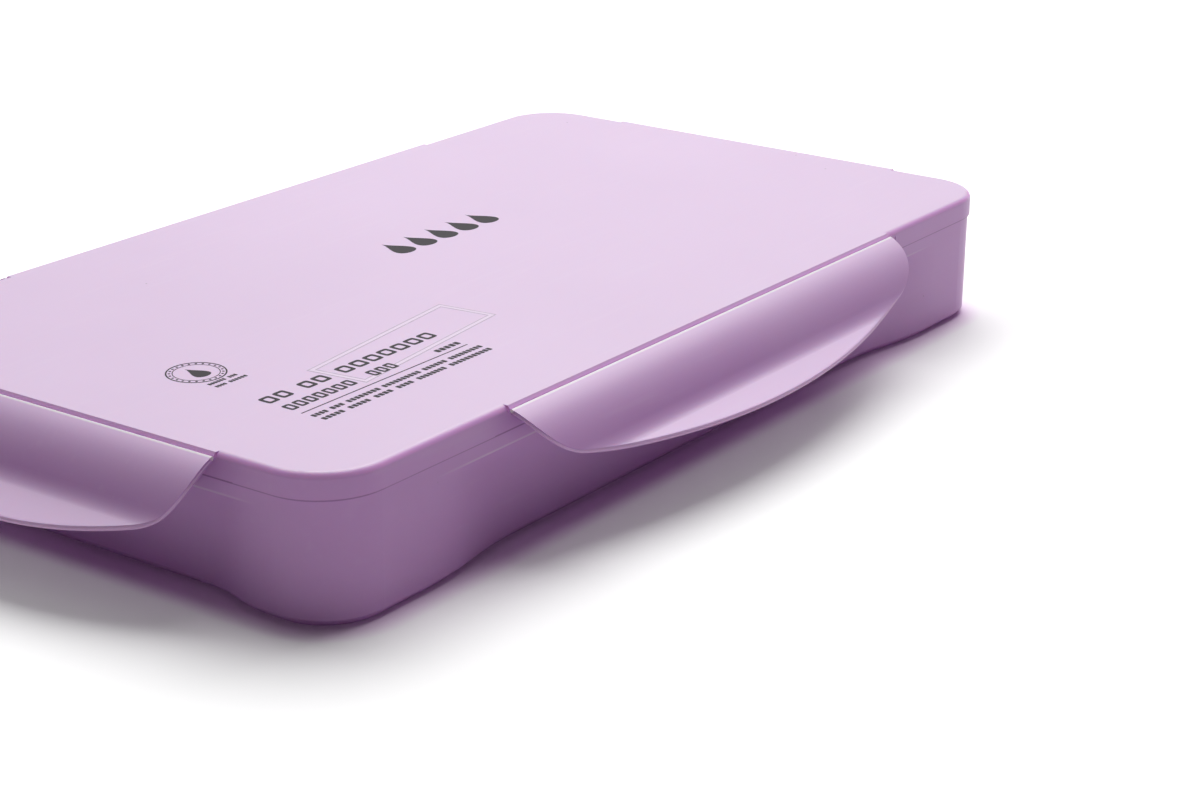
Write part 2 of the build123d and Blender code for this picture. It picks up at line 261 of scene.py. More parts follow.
turned = add_node(
    tree,
    "Mapping",
    {"Vector": given["Vector"], "Rotation": (0, 0, SCUFF_TURN), "Scale": SCUFF_STRETCH},
)
streaks = noise(tree, turned.outputs[0], 1.0, 3.0)
above = math(tree, "SUBTRACT", streaks, SCUFF_START, clamp=True)
scuff = math(tree, "MULTIPLY", above, SCUFF_GAIN, clamp=True)
scuff_mask = math(tree, "MULTIPLY", scuff, given["Scuffs"])
tree.links.new(mix_colour(tree, scuff_mask, specked, (1, 1, 1, 1)), result["Colour"])

rough_clouds = math(tree, "MULTIPLY", math(tree, "SUBTRACT", clouds, 0.5), 0.16)
rough = math(tree, "ADD", given["Roughness"], rough_clouds)
tree.links.new(
    math(tree, "ADD", rough, math(tree, "MULTIPLY", scuff_mask, 0.4), clamp=True),
    result["Roughness"],
)
grain = noise(tree, given["Vector"], GRAIN_SCALE, 2.0)
bump = add_node(tree, "Bump", {"Height": grain, "Strength": 0.12, "Distance": 0.00005})
tree.links.new(bump.outputs[0], result["Normal"])
print("moulded skin group:", len(tree.nodes), "nodes")

# %% [markdown]
# ## The lilac case
# The case and the lid are the same satin polypropylene. The lid has been handled, so it has more
# scuffs and specks than the tray. Light and shade are painted into the colour: it runs from a deep
# lilac on upright faces, painted shade, to a paler one on level faces, painted light, by how far
# the piece's own normal points up. Every lilac piece has this painted shading, so it is a group.
# Polypropylene lets a little light in under its surface, which softens the thin edges, so a small
# subsurface weight is set on the shader itself.

# %% Painted slope shade group
LEVEL_POWER = 3.0
painted_slope_shade, given, result = new_group(
    "painted slope shade",
    {
        "Normal": ("Vector", (0, 0, 1)),
        "Upright": ("Color", (0.8, 0.8, 0.8, 1)),
        "Level": ("Color", (1, 1, 1, 1)),
    },
    {"Colour": "Color"},
)
tree = painted_slope_shade
upward = add_node(tree, "SeparateXYZ", {"Vector": given["Normal"]}).outputs["Z"]
# Level faces take the painted light colour and upright faces the painted shade colour.
facing_up = math(tree, "POWER", math(tree, "MAXIMUM", upward, 0.0), LEVEL_POWER)
slope_painted = mix_colour(tree, facing_up, given["Upright"], given["Level"])
tree.links.new(slope_painted, result["Colour"])
print("painted slope shade group:", len(tree.nodes), "nodes")

# %% Lilac plastic
# Painted shade on upright faces and painted light on level faces.
LILAC_UPRIGHT = rgb(207, 147, 216)
LILAC_LEVEL = rgb(215, 187, 220)
LILAC_PALE = rgb(228, 206, 232)


def lilac_plastic(name, scuffs, specks, upright=LILAC_UPRIGHT, level=LILAC_LEVEL):
    """Lilac polypropylene with the moulded skin; returns the material and its node tree."""
    made, tree, shader = new_material(
        name, Subsurface_Weight=0.12, Subsurface_Scale=0.002, Specular_IOR_Level=0.3
    )
    own_normal = add_node(tree, "TexCoord").outputs["Normal"]
    # The piece's own normal picks painted shade or painted light for its colour.
    slope_paint = {"Normal": own_normal, "Upright": upright, "Level": level}
    skin = place_group(
        tree,
        moulded_skin,
        {
            "Vector": object_coordinates(tree),
            "Colour": place_group(tree, painted_slope_shade, slope_paint)["Colour"],
            "Cloud Colour": LILAC_PALE,
            "Clouds": 0.35,
            "Specks": specks,
            "Scuffs": scuffs,
            "Roughness": 0.36,
        },
    )
    wire_skin(tree, skin, shader)
    return made, tree, shader, skin


print("upright lilac is", np.round(LILAC_UPRIGHT, 3).tolist(), "as light")

# %% [markdown]
# ## The painted seam shade and the painted lit edges
# The lid and the tray meet at a gap of 0.2 mm, thinner than a pixel from arm's length, and what the
# eye sees there is the shade that gathers in it. That shade is painted: it could be a dark thread
# laid
# in the gap, but a mask costs nothing: full at the height of the seam and gone a third of a
# millimetre above or below. The same group paints highlights on two edges, for the light that thin
# plastic lets through there: the lower edge of the tray's rim over the finger bays, and the step at
# the top of the lid's edge.

# %% Level line group
LINE_CORE = 0.4
level_line, given, result = new_group(
    "level line",
    {
        "Vector": ("Vector", (0, 0, 0)),
        "Height": ("Float", 0.03),
        "Thickness": ("Float", 0.001),
    },
    {"Mask": "Float"},
)
tree = level_line
own_height = add_node(tree, "SeparateXYZ", {"Vector": given["Vector"]}).outputs["Z"]
away = math(tree, "ABSOLUTE", math(tree, "SUBTRACT", own_height, given["Height"]))
core = math(tree, "MULTIPLY", given["Thickness"], LINE_CORE)
fade = {"Value": away, "From Min": core, "From Max": given["Thickness"]}
fade |= {"To Min": 1.0, "To Max": 0.0}
tree.links.new(add_node(tree, "MapRange", fade).outputs[0], result["Mask"])
print("level line group:", len(tree.nodes), "nodes")


# %% Where the bays are
BAYS = (("X", "Y", 102 * MM, 72 * MM), ("Y", "X", 56 * MM, 130 * MM))
BAY_FADE = 14 * MM


def bay_share(tree):
    """1 along the rim over each bay, inside its mouth and at its side of the tray, 0 elsewhere."""
    own = add_node(tree, "SeparateXYZ", {"Vector": object_coordinates(tree)}).outputs
    whole = 0.0
    for along, across, mouth, side in BAYS:
        reach = {"Value": math(tree, "ABSOLUTE", own[along]), "From Min": mouth - BAY_FADE}
        reach |= {"From Max": mouth, "To Min": 1.0, "To Max": 0.0}
        within = add_node(tree, "MapRange", reach).outputs[0]
        beside = math(tree, "GREATER_THAN", math(tree, "ABSOLUTE", own[across]), side)
        whole = math(tree, "MAXIMUM", math(tree, "MULTIPLY", within, beside), whole)
    return whole


print("the bays reach", [round(bay[2] / MM) for bay in BAYS], "mm from the middle of their sides")

# %% Lid and tray plastic
# SEAM_DARK is painted shade in the seam; the colours in LIT_EDGES are painted highlights.
SEAM_DARK = rgb(160, 112, 170)
SEAM_HEIGHT, SEAM_SHADE = 27.65 * MM, 0.34 * MM
LIT_EDGES = {
    "lid": (32.85 * MM, 0.6 * MM, 0.7, rgb(236, 172, 240)),
    "base_tray": (24.5 * MM, 0.34 * MM, 0.6, LILAC_PALE),
}
for piece, scuffs, specks in (("lid", 0.03, 0.5), ("base_tray", 0.02, 0.25)):
    made, tree, shader, skin = lilac_plastic(f"lilac_{piece}", scuffs, specks)
    edge_height, edge_width, share, lit = LIT_EDGES[piece]
    own = object_coordinates(tree)
    edge = {"Vector": own, "Height": edge_height, "Thickness": edge_width}
    # Painted highlight along the edge, on the tray only over the bays.
    shine = place_group(tree, level_line, edge)["Mask"]
    if piece == "base_tray":
        shine = math(tree, "MULTIPLY", shine, bay_share(tree))
    colour = mix_colour(tree, math(tree, "MULTIPLY", shine, share), skin["Colour"], lit)
    # Painted shade along the seam.
    line = {"Vector": own, "Height": SEAM_HEIGHT, "Thickness": SEAM_SHADE}
    seam = place_group(tree, level_line, line)["Mask"]
    tree.links.new(mix_colour(tree, seam, colour, SEAM_DARK), shader.inputs["Base Color"])
    finish_nodes([piece], made)
print("the seam is shaded", round(SEAM_SHADE / MM, 2), "mm each way of", round(SEAM_HEIGHT / MM, 2))

# %% [markdown]
# ## The latches and the painted highlight on their hinges
# Each flap bends on a web less than a millimetre thick, and a bright line runs along every hinge
# where the web catches the light. It could be a separate strip, but it is painted into the colour
# as
# a highlight, a mask: the distance from the hinge line, worked out in the flap's own coordinates,
# fades the lilac to white. Front and back flaps hinge along X and the side flaps along Y, and the
# group takes either distance.

# %% Hinge highlight group
HIGHLIGHT_CORE = 0.7
hinge_highlight, given, result = new_group(
    "painted hinge highlight",
    {
        "Across": ("Float", 0.0),
        "Height": ("Float", 0.0),
        "Hinge Across": ("Float", 0.1),
        "Hinge Height": ("Float", 0.03),
        "Width": ("Float", 0.001),
    },
    {"Mask": "Float"},
)
tree = hinge_highlight
offset = math(tree, "SUBTRACT", given["Across"], given["Hinge Across"])
rise = math(tree, "SUBTRACT", given["Height"], given["Hinge Height"])
square = math(tree, "ADD", math(tree, "POWER", offset, 2.0), math(tree, "POWER", rise, 2.0))
distance = math(tree, "DIVIDE", math(tree, "SQRT", square), given["Width"])
fade = {"Value": distance, "From Min": HIGHLIGHT_CORE, "From Max": 1.0, "To Min": 1.0, "To Max": 0.0}
tree.links.new(add_node(tree, "MapRange", fade).outputs[0], result["Mask"])
print("painted hinge highlight group:", len(tree.nodes), "nodes")

# %% Latch plastic
# HINGE_WHITE is the colour of the painted highlight along each hinge.
HINGE_WHITE = rgb(240, 232, 240)
# Deeper painted shade on the latches' upright faces and paler painted light on their level faces.
LATCH_UPRIGHT = rgb(191, 129, 201)
LATCH_LEVEL = rgb(229, 199, 234)
HINGE_HEIGHT = 32.45 * MM
HIGHLIGHT_WIDTH = 0.62 * MM
HINGES = {"front": ("Y", 77.0 * MM), "side": ("X", 134.5 * MM)}
LATCHES = {"front": ("latch_front", "latch_back"), "side": ("latch_left", "latch_right")}
for pair, (axis, hinge_across) in HINGES.items():
    made, tree, shader, skin = lilac_plastic(
        f"lilac_latch_{pair}", 0.03, 0.3, LATCH_UPRIGHT, LATCH_LEVEL
    )
    own = add_node(tree, "SeparateXYZ", {"Vector": object_coordinates(tree)}).outputs
    mask = place_group(
        tree,
        hinge_highlight,
        {
            "Across": math(tree, "ABSOLUTE", own[axis]),
            "Height": own["Z"],
            "Hinge Across": hinge_across,
            "Hinge Height": HINGE_HEIGHT,
            "Width": HIGHLIGHT_WIDTH,
        },
    )["Mask"]
    # Mix the painted hinge highlight into the lilac.
    tree.links.new(
        mix_colour(tree, mask, skin["Colour"], HINGE_WHITE), shader.inputs["Base Color"]
    )
    finish_nodes(LATCHES[pair], made)
    print(pair, "hinges lie", round(hinge_across / MM, 2), "mm from the middle")

# %% [markdown]
# ## Closed skins from arrays
# The new pieces are all closed skins: rings of points, one after another, joined by four-sided
# faces. Where the first and last ring shrink to a point the skin is shut with a fan; where the
# rings run back into themselves it is a loop, like a tyre. One function turns a whole array of such
# forms into a single mesh, and checks its signed volume so that the faces point outwards.


# %% Skins from rings of points
def ring_faces(rings, spokes, loop):
    """Quads between neighbouring rings, and the two fans that shut the ends unless it's a loop."""
    starts = np.arange(rings if loop else rings - 1)
    ring, spoke = np.meshgrid(starts, np.arange(spokes), indexing="ij")
    here, after = ring * spokes, (ring + 1) % rings * spokes
    beside = (spoke + 1) % spokes
    corners = [here + spoke, after + spoke, after + beside, here + beside]
    quads = np.stack(corners, axis=-1).reshape(-1, 4)
    if loop:
        return quads, np.empty((0, 3), int)
    here, there = np.arange(spokes), (np.arange(spokes) + 1) % spokes
    last = (rings - 1) * spokes
    first_fan = np.stack([np.full(spokes, rings * spokes), here, there], axis=-1)
    last_fan = np.stack([np.full(spokes, rings * spokes + 1), last + there, last + here], axis=-1)
    return quads, np.concatenate([first_fan, last_fan])


def signed_volume(points, triangles):
    """A sixth of the sum of the box products of each triangle's corners."""
    a, b, c = (points[triangles[:, i]] for i in range(3))
    return np.einsum("ij,ij->i", a, np.cross(b, c)).sum() / 6


def box_in_mm(name):
    """The low and high corners of a solid of the model, in millimetres."""
    return [np.array(corner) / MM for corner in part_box(name)]


def skin_mesh(name, forms, loop=False, smooth=True):
    """A mesh object from forms[form, ring, spoke, xyz], all of one pattern, faces outwards."""
    count, rings, spokes = forms.shape[:3]
    points = forms.reshape(count, rings * spokes, 3)
    if not loop:
        poles = np.stack([forms[:, 0].mean(axis=1), forms[:, -1].mean(axis=1)], axis=1)
        points = np.concatenate([points, poles], axis=1)
    quads, fans = ring_faces(rings, spokes, loop)
    triangles = np.concatenate([quads[:, :3], quads[:, [0, 2, 3]], fans])
    middle = points[0].mean(axis=0)
    if signed_volume(points[0] - middle, triangles) < 0:
        quads, fans = quads[:, ::-1], fans[:, ::-1]
    steps = (np.arange(count) * points.shape[1])[:, None, None]
    faces = (quads[None] + steps).reshape(-1, 4).tolist()
    faces += (fans[None] + steps).reshape(-1, 3).tolist()
    mesh = bpy.data.meshes.new(name)
    mesh.from_pydata(points.reshape(-1, 3).tolist(), [], faces)
    mesh.polygons.foreach_set("use_smooth", np.full(len(mesh.polygons), smooth))
    mesh.update()
    made = bpy.data.objects.new(name, mesh)
    bpy.context.scene.collection.objects.link(made)
    print(name, "has", len(mesh.polygons), "faces in", count, "forms")
    return made


def joined(name, parts):
    """Several mesh objects made into one, which keeps the given name."""
    with bpy.context.temp_override(active_object=parts[0], selected_editable_objects=parts):
        bpy.ops.object.join()
    parts[0].name = parts[0].data.name = name
    return parts[0]


def clothe(piece, material, body):
    """Give a piece its material and its body."""
    piece.data.materials.clear()
    piece.data.materials.append(material)
    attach(piece, body)
    return piece


# %% [markdown]
# ## The rolled edge of the flaps
# The free edge of each flap ends in a soft round roll, which catches the light as a narrow pale
# line. The flap's profile is an S: seen from the end it leaves the hinge at a gentle slope, turns
# down through the dome, and turns back in the bend to the flare. Its outline is a D, drawn on a
# plane that leans with the flap. Each point of the D is dropped on the S by its distance down that
# plane, and a tube runs through these points. It could be a fillet of the solid, but a tube can
# swell from half its size at the hinge to its full size along the tip.

# %% Flap profile and outline
ROOT_SLOPE, DOME_TURN, BEND_TURN, PLANE_TILT = np.radians([20, 50, 50, 57])
DOME_RADIUS, BEND_RADIUS, FLARE_LENGTH = 16.0, 5.1, 14.0
BEAD_RADIUS, FLAP_THICKNESS = 0.4, 1.3
OUTLINE_CORNER = 16.0
FLAPS = {
    "front": {"half": 78.1, "reach": 22.3, "radius": 265.0, "lean": np.radians(12)},
    "side": {"half": 45.7, "reach": 24.2, "radius": 97.0, "lean": np.radians(1)},
}
ROLL_RADIUS = (0.35, 0.70)
ROLL_SHIFT = (-0.30, 0.25)
ROLL_LILAC = rgb(222, 172, 224)


def flap_profile():
    """The middle of the flap's wall from the hinge: how far out, how far down, and its slope."""
    step = 0.05
    lengths = np.array([DOME_RADIUS * DOME_TURN, BEND_RADIUS * BEND_TURN, FLARE_LENGTH])
    along = np.arange(0, lengths.sum(), step)
    in_dome = np.clip(along, 0, lengths[0]) / DOME_RADIUS
    in_bend = np.clip(along - lengths[0], 0, lengths[1]) / BEND_RADIUS
    slope = ROOT_SLOPE + in_dome - in_bend
    out = BEAD_RADIUS * np.sin(ROOT_SLOPE) + np.cumsum(np.cos(slope)) * step
    down = -BEAD_RADIUS * np.cos(ROOT_SLOPE) + np.cumsum(np.sin(slope)) * step
    half = FLAP_THICKNESS / 2
    return out - half * np.sin(slope), down + half * np.cos(slope), slope


def flap_outline(flap, count=90):
    """Half of the D: down the leaning end, round the corner of it, and along the wide arc."""
    end = np.array([-flap["reach"] * np.tan(flap["lean"]), flap["reach"] + FLAP_THICKNESS])
    end /= np.linalg.norm(end)
    inward = np.array([-end[1], end[0]])
    start, middle = np.array([flap["half"], 0.0]), np.array([0.0, flap["reach"] - flap["radius"]])
    back = start + inward * OUTLINE_CORNER - middle
    along = back @ end
    gone = np.sqrt(along**2 - back @ back + (flap["radius"] - OUTLINE_CORNER) ** 2) - along
    corner = middle + back + gone * end
    away = (corner - middle) / np.linalg.norm(corner - middle)
    first, last = np.arctan2(-inward[1], -inward[0]), np.arctan2(away[1], away[0])
    turn = np.linspace(first, last, count)[:, None]
    wide = np.linspace(last, np.pi / 2, count)[1:, None]
    pieces = [
        start + np.linspace(0, gone, count)[:-1, None] * end,
        corner + OUTLINE_CORNER * np.hstack([np.cos(turn), np.sin(turn)]),
        middle + flap["radius"] * np.hstack([np.cos(wide), np.sin(wide)]),
    ]
    return np.concatenate(pieces)


def roll_form(flap, spokes=12, rings=220):
    """Rings of the tube along the whole free edge, as distances along, outward and upward."""
    half = flap_outline(flap)
    whole = np.concatenate([half, (half * (-1, 1))[-2::-1]])
    run = np.r_[0, np.cumsum(np.linalg.norm(np.diff(whole, axis=0), axis=1))]
    at = np.linspace(0.4, run[-1] - 0.4, rings)
    across, reach = (np.interp(at, run, whole[:, i]) for i in range(2))
    out, down, slope = flap_profile()
    depth = out * np.cos(PLANE_TILT) + down * np.sin(PLANE_TILT)
    lean = np.interp(reach, depth, slope)
    path = np.stack([across, np.interp(reach, depth, out), -np.interp(reach, depth, down)], axis=-1)
    ahead = np.gradient(path, axis=0)
    ahead /= np.linalg.norm(ahead, axis=1, keepdims=True)
    up = np.stack([np.zeros(rings), np.sin(lean), np.cos(lean)], axis=-1)
    beside = np.cross(ahead, up)
    beside *= np.sign(beside[rings // 2, 1])
    share = np.abs(beside @ np.array([0, 1, 0]))[:, None]
    radius, shift = (low + (high - low) * share for low, high in (ROLL_RADIUS, ROLL_SHIFT))
    angle = np.linspace(0, 2 * np.pi, spokes, endpoint=False)[None, :, None]
    ring = np.cos(angle) * beside[:, None] + np.sin(angle) * up[:, None]
    return (path + shift * beside)[:, None] + radius[:, None] * ring


# %% Flap rolls
roll_plastic = lilac_plastic("lilac_roll", 0.0, 0.0, ROLL_LILAC, ROLL_LILAC)[0]
for pair, (axis, hinge_across) in HINGES.items():
    form = roll_form(FLAPS[pair])
    along, outward = form[..., 0] * MM, form[..., 1] * MM + hinge_across
    upward = form[..., 2] * MM + HINGE_HEIGHT
    for name, sign in zip(LATCHES[pair], (-1, 1)):
        places = (along, sign * outward) if axis == "Y" else (sign * outward, along)
        roll = skin_mesh(f"roll_{name}", np.stack([*places, upward], axis=-1)[None])
        clothe(roll, roll_plastic, name)

# %% [markdown]
# ## The print on the lid
# The lid is printed in one dark grey ink. On a box like this the print is a short row of marks in
# the middle, a round seal, and a block of text lines. Here it is kept plain: a row of paint drops,
# a seal of rings round a drop, hollow marks where large letters would be, and small solid marks for
# the small print. Ink could be a mask in the lid's colour, but then its edges are only as sharp as
# a baked map, so each mark is a film of ink a few hundredths of a millimetre thick, lying on the
# lid. Each colour of ink has its own thickness, so where two inks cross, one lies over the other.

# %% Outlines for the ink
DARK_FILM, LINE_FILM, BAND_FILM = 0.03, 0.02, 0.01
MARK_SHARE = 0.78
LID_TOP = cad_box[1][2] / MM


def oval_outline(half_length, half_width, squareness=2.0, spokes=40):
    """|x/a|^n + |y/b|^n = 1 by its angle: an ellipse at n = 2, a rounded bar at n = 5."""
    angle = np.linspace(0, 2 * np.pi, spokes, endpoint=False)
    c, s = np.cos(angle), np.sin(angle)
    power = 2 / squareness
    across = half_length * np.sign(c) * np.abs(c) ** power
    return np.stack([across, half_width * np.sign(s) * np.abs(s) ** power], axis=-1)


def drop_outline(half_width, half_height, spokes=48):
    """A paint drop: an ellipse whose width shrinks towards its top as (1 - sin)/2 to a power."""
    angle = np.linspace(0, 2 * np.pi, spokes, endpoint=False)
    across = np.cos(angle) * ((1 - np.sin(angle)) / 2) ** 1.1
    return np.stack([half_width * across / across.max(), half_height * np.sin(angle)], axis=-1)


def box_outline(half_length, half_width):
    """The four corners of a rectangle, in order."""
    signs = np.array([[1, 1], [-1, 1], [-1, -1], [1, -1]])
    return signs * (half_length, half_width)


def ink_patches(name, outlines, centres):
    """Flat dabs of ink: each outline is the rim of the top and of the underside of its film."""
    flat = np.asarray(outlines) + np.asarray(centres)[:, None, :]
    levels = np.array([LID_TOP + DARK_FILM, LID_TOP])
    forms = np.empty((len(flat), 2, flat.shape[1], 3))
    forms[..., :2] = flat[:, None]
    forms[..., 2] = levels[None, :, None]
    return skin_mesh(name, forms * MM, smooth=False)


def ink_rings(name, outers, inners, centres, turn=0.0, film=DARK_FILM):
    """Closed lines of ink, each between two outlines, as loops of four rings."""
    flat = np.stack([inners, outers, outers, inners], axis=1)
    flat = flat @ np.array([[np.cos(turn), np.sin(turn)], [-np.sin(turn), np.cos(turn)]])
    flat = flat + np.asarray(centres)[:, None, None, :]
    levels = np.array([1, 1, 0, 0]) * film + LID_TOP
    heights = np.broadcast_to(levels[None, :, None, None], (*flat.shape[:3], 1))
    return skin_mesh(name, np.concatenate([flat, heights], axis=-1) * MM, loop=True, smooth=False)


def word_marks(name, left, middle, height, pitch, words, gap, stroke=None):
    """A line of text as rows of marks, solid or of one stroke round: words are their lengths."""
    centres, marks, holes, start = [], [], [], left
    for length in words:
        count = max(1, round(length / pitch))
        step = length / count
        half_length, half_height = MARK_SHARE * step / 2, height / 2
        for number in range(count):
            marks.append(oval_outline(half_length, half_height, squareness=6, spokes=24))
            if stroke:
                inside = (half_length - stroke, half_height - stroke)
                holes.append(oval_outline(*inside, squareness=5, spokes=24))
            centres.append((start + (number + 0.5) * step, middle))
        start += length + gap
    return ink_rings(name, marks, holes, centres) if stroke else ink_patches(name, marks, centres)


# %% Ink marks
DROPS, DROPS_LEFT, DROPS_PITCH, DROPS_MIDDLE = 5, -5.0, 8.3, 15.8
DROP_SIZE = (3.1, 5.0)
SEAL_CENTRE = (-101.5, -9.3)
SEAL_RADII = ((6.7, 6.35), (5.25, 5.05))
SEAL_DOTS, SEAL_DOT_RADIUS, SEAL_DOT_RING = 24, 0.3, 5.8
SEAL_DROP = (2.1, 3.4)
NOTE_LEFT, NOTE_HEIGHT, NOTE_PITCH = -105.8, 1.1, 0.9
SEAL_NOTES = ((-17.0, (5.2, 2.6)), (-19.2, (3.2, 5.4)))
LINES_LEFT, LINES_RIGHT = -107.0, -52.4
RULE_MIDDLE, RULE_HALF_WIDTH = -44.6, 0.16
GRADE = (-60.6, -42.2, 1.7, 1.5, (8.2,), 0.0)
TEXT_LINES = (
    ("heading", -33.6, 3.9, 4.3, (8.6, 8.8, 32.2), 3.2, 0.85),
    ("subheading", -40.2, 3.5, 3.0, (21.4, 8.6), 5.0, 0.7),
    ("small_first", -47.6, 1.5, 1.25, (4.6, 4.0, 10.4, 12.2, 7.8, 11.2), 1.1, None),
    ("small_second", -50.4, 1.5, 1.25, (6.6, 6.6, 5.6, 5.2, 9.4, 14.2), 1.6, None),
)

drop_centres = [(DROPS_LEFT + DROPS_PITCH * i, DROPS_MIDDLE) for i in range(DROPS)]
drops = ink_patches("print_drops", [drop_outline(*DROP_SIZE)] * DROPS, drop_centres)

seal_parts = [
    ink_rings("seal_ring", [oval_outline(out, out)], [oval_outline(inside, inside)], [SEAL_CENTRE])
    for out, inside in SEAL_RADII
]
dot_angle = np.linspace(0, 2 * np.pi, SEAL_DOTS, endpoint=False)
dot_ring = np.stack([np.cos(dot_angle), np.sin(dot_angle)], axis=-1) * SEAL_DOT_RING
seal_dot = oval_outline(SEAL_DOT_RADIUS, SEAL_DOT_RADIUS, spokes=12)
seal_parts.append(ink_patches("seal_dots", [seal_dot] * SEAL_DOTS, dot_ring + SEAL_CENTRE))
seal_parts.append(ink_patches("seal_drop", [drop_outline(*SEAL_DROP)], [SEAL_CENTRE]))
seal_parts += [
    word_marks("seal_note", NOTE_LEFT, middle, NOTE_HEIGHT, NOTE_PITCH, words, NOTE_PITCH)
    for middle, words in SEAL_NOTES
]
seal = joined("print_seal", seal_parts)

block_parts = [
    word_marks(name, LINES_LEFT, middle, height, pitch, words, gap, stroke)
    for name, middle, height, pitch, words, gap, stroke in TEXT_LINES
]
block_parts.append(word_marks("grade", *GRADE))
rule_half = (LINES_RIGHT - LINES_LEFT) / 2
rule_centre = (LINES_LEFT + rule_half, RULE_MIDDLE)
block_parts.append(ink_patches("rule", [box_outline(rule_half, RULE_HALF_WIDTH)], [rule_centre]))
block = joined("print_block", block_parts)

# %% Ink and label materials
dark_ink, tree, shader = new_material("dark_ink", Specular_IOR_Level=0.04)
worn = noise(tree, object_coordinates(tree), 900.0, 3.0)
tree.links.new(
    mix_colour(tree, math(tree, "MULTIPLY", worn, 0.3), rgb(58, 56, 58), rgb(104, 96, 104)),
    shader.inputs["Base Color"],
)
ink_rough = math(tree, "ADD", math(tree, "MULTIPLY", worn, 0.2), 0.45)
tree.links.new(ink_rough, shader.inputs["Roughness"])
for piece in (drops, seal, block):
    clothe(piece, dark_ink, "lid")

# %% [markdown]
# ## The faint frame
# Next to the text the lid carries a faint oblong frame of two pale lines, set slightly askew, like
# the edge of a clear blank label. It is made as two thin loops with a paler band between.

# %% Faint frame
FRAME_CENTRE = (-59.2, -32.15)
FRAME_HALF = (26.6, 7.8)
FRAME_TURN = np.radians(6.9)
FRAME_BAND = 1.25
LINE_WIDTH = 0.3


def frame_loop(name, outer_inset, inner_inset, film):
    """One band of the frame, between two rectangles set in from its outer edge."""
    outer, inner = (
        box_outline(*(half - inset for half in FRAME_HALF)) for inset in (outer_inset, inner_inset)
    )
    return ink_rings(name, [outer], [inner], [FRAME_CENTRE], FRAME_TURN, film)


outer_line = frame_loop("frame_outer", 0.0, LINE_WIDTH, LINE_FILM)
inner_line = frame_loop("frame_inner", FRAME_BAND, FRAME_BAND + LINE_WIDTH, LINE_FILM)
faint_lines = joined("print_frame_lines", [outer_line, inner_line])
band = frame_loop("print_frame_band", LINE_WIDTH, FRAME_BAND, BAND_FILM)
for piece, name, tint in (
    (faint_lines, "frame_line_ink", rgb(160, 142, 164)),
    (band, "frame_band_ink", rgb(219, 200, 223)),
):
    made, tree, shader = new_material(name, Roughness=0.4)
    broken = noise(tree, object_coordinates(tree), 400.0, 2.0)
    shade = math(tree, "MULTIPLY", broken, 0.4)
    tree.links.new(mix_colour(tree, shade, tint, LILAC_LEVEL), shader.inputs["Base Color"])
    clothe(piece, made, "lid")

# %% [markdown]
# ## Paste in the cups
# Gouache is a thick paste. When a cup is filled the nozzle leaves a slow swirl with a small peak in
# the middle. Each column of four cups is one colour family, so one piece holds its four pastes. The
# plan of a paste is a squared oval that fits the cup, and its top is a wave whose phase runs round
# and outward, which draws a spiral, plus a peak that dies away from the middle.

# %% Paste shapes
FAMILIES = "whites yellows oranges reds violets blues greens browns greys".split()
CUP_ROWS = 4
PASTE_SQUARENESS = 7.5
SWIRL_HEIGHT, SWIRL_ARMS, SWIRL_WINDING = 0.35, 2, 11.0
PEAK_HEIGHT, PEAK_RADIUS = 0.9, 0.16
RIM_CLING, PASTE_DROP = 0.4, 0.6
RINGS, SPOKES = 16, 56


def squared_circle(angle):
    """How far a squared oval of half width 1 reaches at each angle."""
    n = PASTE_SQUARENESS
    return (np.abs(np.cos(angle)) ** n + np.abs(np.sin(angle)) ** n) ** (-1 / n)


def paste_form(centre, half_top, half_bottom, bottom, top, phase):
    """Rings from the middle of the swirled top, out to the cup's wall and down to its floor."""
    angle = np.linspace(0, 2 * np.pi, SPOKES, endpoint=False)
    reach = np.linspace(0.03, 1, RINGS)
    r, a = np.meshgrid(reach, angle, indexing="ij")
    spiral = np.cos(SWIRL_ARMS * a - SWIRL_WINDING * r + phase)
    calm = r * (1 - r**6)
    peak = PEAK_HEIGHT * np.exp(-((r / PEAK_RADIUS) ** 2)) * np.cos(phase) ** 2
    height = top - PASTE_DROP + SWIRL_HEIGHT * spiral * calm * 2 + peak + RIM_CLING * r**8
    width = half_top * squared_circle(a) * r
    upper = np.stack([width * np.cos(a), width * np.sin(a), height], axis=-1)
    foot = half_bottom * squared_circle(angle)
    lower = np.stack([foot * np.cos(angle), foot * np.sin(angle), np.full(SPOKES, bottom)], axis=-1)
    return np.concatenate([upper, lower[None]]) + (*centre, 0)


# %% Paste pieces
FIT, CUP_DRAFT = 0.985, np.radians(3.0)
pastes = {}
for column, family in enumerate(FAMILIES):
    low, high = box_in_mm(f"paint_{family}")
    width = high[0] - low[0]
    pitch = (high[1] - low[1] - width) / (CUP_ROWS - 1)
    narrower = width - 2 * (high[2] - low[2]) * np.tan(CUP_DRAFT)
    forms = [
        paste_form(
            ((low[0] + high[0]) / 2, low[1] + width / 2 + row * pitch),
            FIT * width / 2,
            FIT * narrower / 2,
            low[2],
            high[2],
            1.7 * column + 2.3 * row,
        )
        for row in range(CUP_ROWS)
    ]
    pastes[family] = skin_mesh(f"paste_{family}", np.stack(forms) * MM)
    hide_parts(f"paint_{family}")

# %% [markdown]
# ## Colours of the paste
# Within a column the four cups go from light at the front to dark at the back. A group picks the
# colour by the cup's row, from the piece's own Y, and gives the paste its slight unevenness:
# pigment that isn't quite stirred in, a wet sheen with duller patches, and fine trowel marks in
# the bump.

